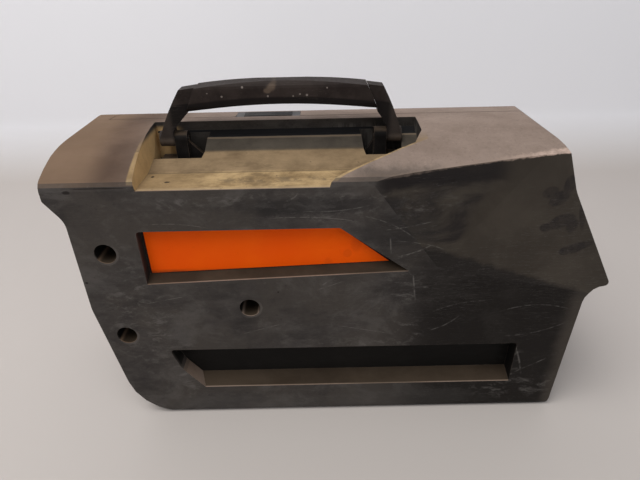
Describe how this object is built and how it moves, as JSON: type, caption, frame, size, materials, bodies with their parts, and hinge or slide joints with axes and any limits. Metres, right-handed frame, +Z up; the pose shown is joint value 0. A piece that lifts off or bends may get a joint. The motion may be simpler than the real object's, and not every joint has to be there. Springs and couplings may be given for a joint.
{
  "type": "wire feeder",
  "caption": "Portable welding wire feeder with a moulded grey case, crowned top, folding carry handle, sloping control panel, hinged side door, spool hub and roll drive inside",
  "frame": {"origin": "centre of the footprint, on the floor", "axes": "+X towards the gun connector end, +Y towards the door side, +Z up"},
  "size_m": [0.51, 0.2, 0.34],
  "materials": {
    "shell_plastic": "matte",
    "black_plastic": "satin",
    "zinc_steel": "satin",
    "orange_label": "satin",
    "grey_sheet": "satin",
    "red_lens": "gloss",
    "grey_plastic": "satin",
    "circuit_board": "satin",
    "brass": "satin",
    "cast_aluminium": "satin",
    "motor_black": "satin",
    "red_plastic": "satin",
    "hose_rubber": "matte"
  },
  "bodies": {
    "housing": {"side_shell": "shell_plastic", "rim_strip": "shell_plastic", "end_frame": "shell_plastic", "hinge_pin": "zinc_steel", "handle_pins": "zinc_steel", "handle_brackets": "black_plastic", "label_plate": "orange_label", "case_screws": "zinc_steel", "chassis_plate": "grey_sheet", "control_panel": "black_plastic", "display_windows": "red_lens", "control_board": "circuit_board", "encoders": "zinc_steel", "connector_plate": "black_plastic", "gun_connector": "brass", "connector_bush": "black_plastic", "remote_socket": "zinc_steel", "rear_plate": "black_plastic", "current_connector": "black_plastic", "control_socket": "zinc_steel", "gas_inlet": "brass", "feed_plate": "cast_aluminium", "roll_axles": "zinc_steel", "feed_motor": "motor_black", "gearbox": "cast_aluminium", "arm_pins": "zinc_steel", "wire_guides": "grey_plastic", "hub_axle": "zinc_steel", "brake_spring": "zinc_steel", "axle_nut": "zinc_steel", "gas_valve": "grey_plastic", "gas_hose": "hose_rubber", "current_bar": "brass"},
    "door": {"side_door": "shell_plastic", "catch_spring": "zinc_steel"},
    "catch": {"door_catch": "black_plastic"},
    "handle": {"handle_bail": "black_plastic", "handle_grip": "black_plastic"},
    "speed_knob": {"knob_speed": "black_plastic"},
    "voltage_knob": {"knob_voltage": "black_plastic"},
    "left_button": {"button_left": "grey_plastic"},
    "middle_button": {"button_middle": "grey_plastic"},
    "right_button": {"button_right": "grey_plastic"},
    "pinion": {"motor_pinion": "zinc_steel"},
    "rear_roll": {"drive_gear_rear": "grey_plastic", "feed_roll_rear": "zinc_steel", "roll_cap_rear": "red_plastic"},
    "front_roll": {"drive_gear_front": "grey_plastic", "feed_roll_front": "zinc_steel", "roll_cap_front": "red_plastic"},
    "rear_arm": {"pressure_arm_rear": "motor_black"},
    "front_arm": {"pressure_arm_front": "motor_black"},
    "rear_press": {"pressure_roll_rear": "zinc_steel"},
    "front_press": {"pressure_roll_front": "zinc_steel"},
    "lever": {"tension_lever": "zinc_steel"},
    "lever_knob": {"tension_knob": "red_plastic"},
    "hub": {"spool_hub": "black_plastic"},
    "lock_knob": {"hub_lock_knob": "red_plastic"},
    "upper_claw": {"claw_upper": "red_plastic"},
    "lower_claw": {"claw_lower": "red_plastic"}
  },
  "joints": [
    {"name": "door_hinge", "type": "hinge", "parent": "housing", "child": "door", "pos_m": [0, 0.095, 0.0055], "axis": [-1, 0, 0], "range_deg": [0, 90]},
    {"name": "catch_slide", "type": "slide", "parent": "door", "child": "catch", "axis": [0, 1, 0], "range_m": [0, 0.005], "stiffness_N_per_m": 500, "springref_m": -0.003, "deforming": ["catch_spring"]},
    {"name": "handle_fold", "type": "hinge", "parent": "housing", "child": "handle", "pos_m": [0, -0.015, 0.286], "axis": [1, 0, 0], "range_deg": [0, 90]},
    {"name": "speed_turn", "type": "hinge", "parent": "housing", "child": "speed_knob", "pos_m": [0.23595, -0.038, 0.20043], "axis": [-0.8897, 0, -0.4566], "range_deg": [-150, 150]},
    {"name": "voltage_turn", "type": "hinge", "parent": "housing", "child": "voltage_knob", "pos_m": [0.23595, 0.038, 0.20043], "axis": [-0.8897, 0, -0.4566], "range_deg": [-150, 150]},
    {"name": "left_press", "type": "slide", "parent": "housing", "child": "left_button", "axis": [-0.8897, 0, -0.4566], "range_m": [0, 0.001], "stiffness_N_per_m": 600, "springref_m": -0.0005},
    {"name": "middle_press", "type": "slide", "parent": "housing", "child": "middle_button", "axis": [-0.8897, 0, -0.4566], "range_m": [0, 0.001], "stiffness_N_per_m": 600, "springref_m": -0.0005},
    {"name": "right_press", "type": "slide", "parent": "housing", "child": "right_button", "axis": [-0.8897, 0, -0.4566], "range_m": [0, 0.001], "stiffness_N_per_m": 600, "springref_m": -0.0005},
    {"name": "rear_roll_spin", "type": "hinge", "parent": "housing", "child": "rear_roll", "pos_m": [0.085, 0.04, 0.069], "axis": [0, 1, 0], "continuous": true},
    {"name": "front_roll_spin", "type": "hinge", "parent": "housing", "child": "front_roll", "pos_m": [0.145, 0.04, 0.069], "axis": [0, 1, 0], "continuous": true},
    {"name": "pinion_spin", "type": "hinge", "parent": "housing", "child": "pinion", "pos_m": [0.115, 0.04, 0.06119], "axis": [0, 1, 0], "continuous": true},
    {"name": "rear_arm_lift", "type": "hinge", "parent": "housing", "child": "rear_arm", "pos_m": [0.06, 0.0245, 0.1086], "axis": [0, -1, 0], "range_deg": [0, 50]},
    {"name": "front_arm_lift", "type": "hinge", "parent": "housing", "child": "front_arm", "pos_m": [0.17, 0.0245, 0.1086], "axis": [0, 1, 0], "range_deg": [0, 50]},
    {"name": "rear_press_spin", "type": "hinge", "parent": "rear_arm", "child": "rear_press", "pos_m": [0.085, 0.04, 0.1016], "axis": [0, 1, 0], "continuous": true},
    {"name": "front_press_spin", "type": "hinge", "parent": "front_arm", "child": "front_press", "pos_m": [0.145, 0.04, 0.1016], "axis": [0, 1, 0], "continuous": true},
    {"name": "tension_release", "type": "hinge", "parent": "housing", "child": "lever", "pos_m": [0.115, 0.0245, 0.084], "axis": [-1, 0, 0], "range_deg": [-50, 0]},
    {"name": "tension_adjust", "type": "hinge", "parent": "lever", "child": "lever_knob", "pos_m": [0.115, 0.0245, 0.084], "axis": [0, 0.766, 0.6428], "range_deg": [-360, 360]},
    {"name": "hub_spin", "type": "hinge", "parent": "housing", "child": "hub", "pos_m": [-0.124, 0.02, 0.14], "axis": [0, 1, 0], "continuous": true},
    {"name": "lock_turn", "type": "hinge", "parent": "hub", "child": "lock_knob", "pos_m": [-0.124, 0.081, 0.14], "axis": [0, 1, 0], "range_deg": [0, 90]},
    {"name": "upper_claw_slide", "type": "slide", "parent": "hub", "child": "upper_claw", "axis": [0, 0, 1], "range_m": [0, 0.007]},
    {"name": "lower_claw_slide", "type": "slide", "parent": "hub", "child": "lower_claw", "axis": [0, 0, -1], "range_m": [0, 0.007]}
  ],
  "couplings": [
    {"joint": "front_roll_spin", "follows": "rear_roll_spin", "ratio": 1},
    {"joint": "pinion_spin", "follows": "rear_roll_spin", "ratio": -1.5833},
    {"joint": "upper_claw_slide", "follows": "lock_turn", "m_per_rad": 0.004455},
    {"joint": "lower_claw_slide", "follows": "lock_turn", "m_per_rad": 0.004455}
  ]
}
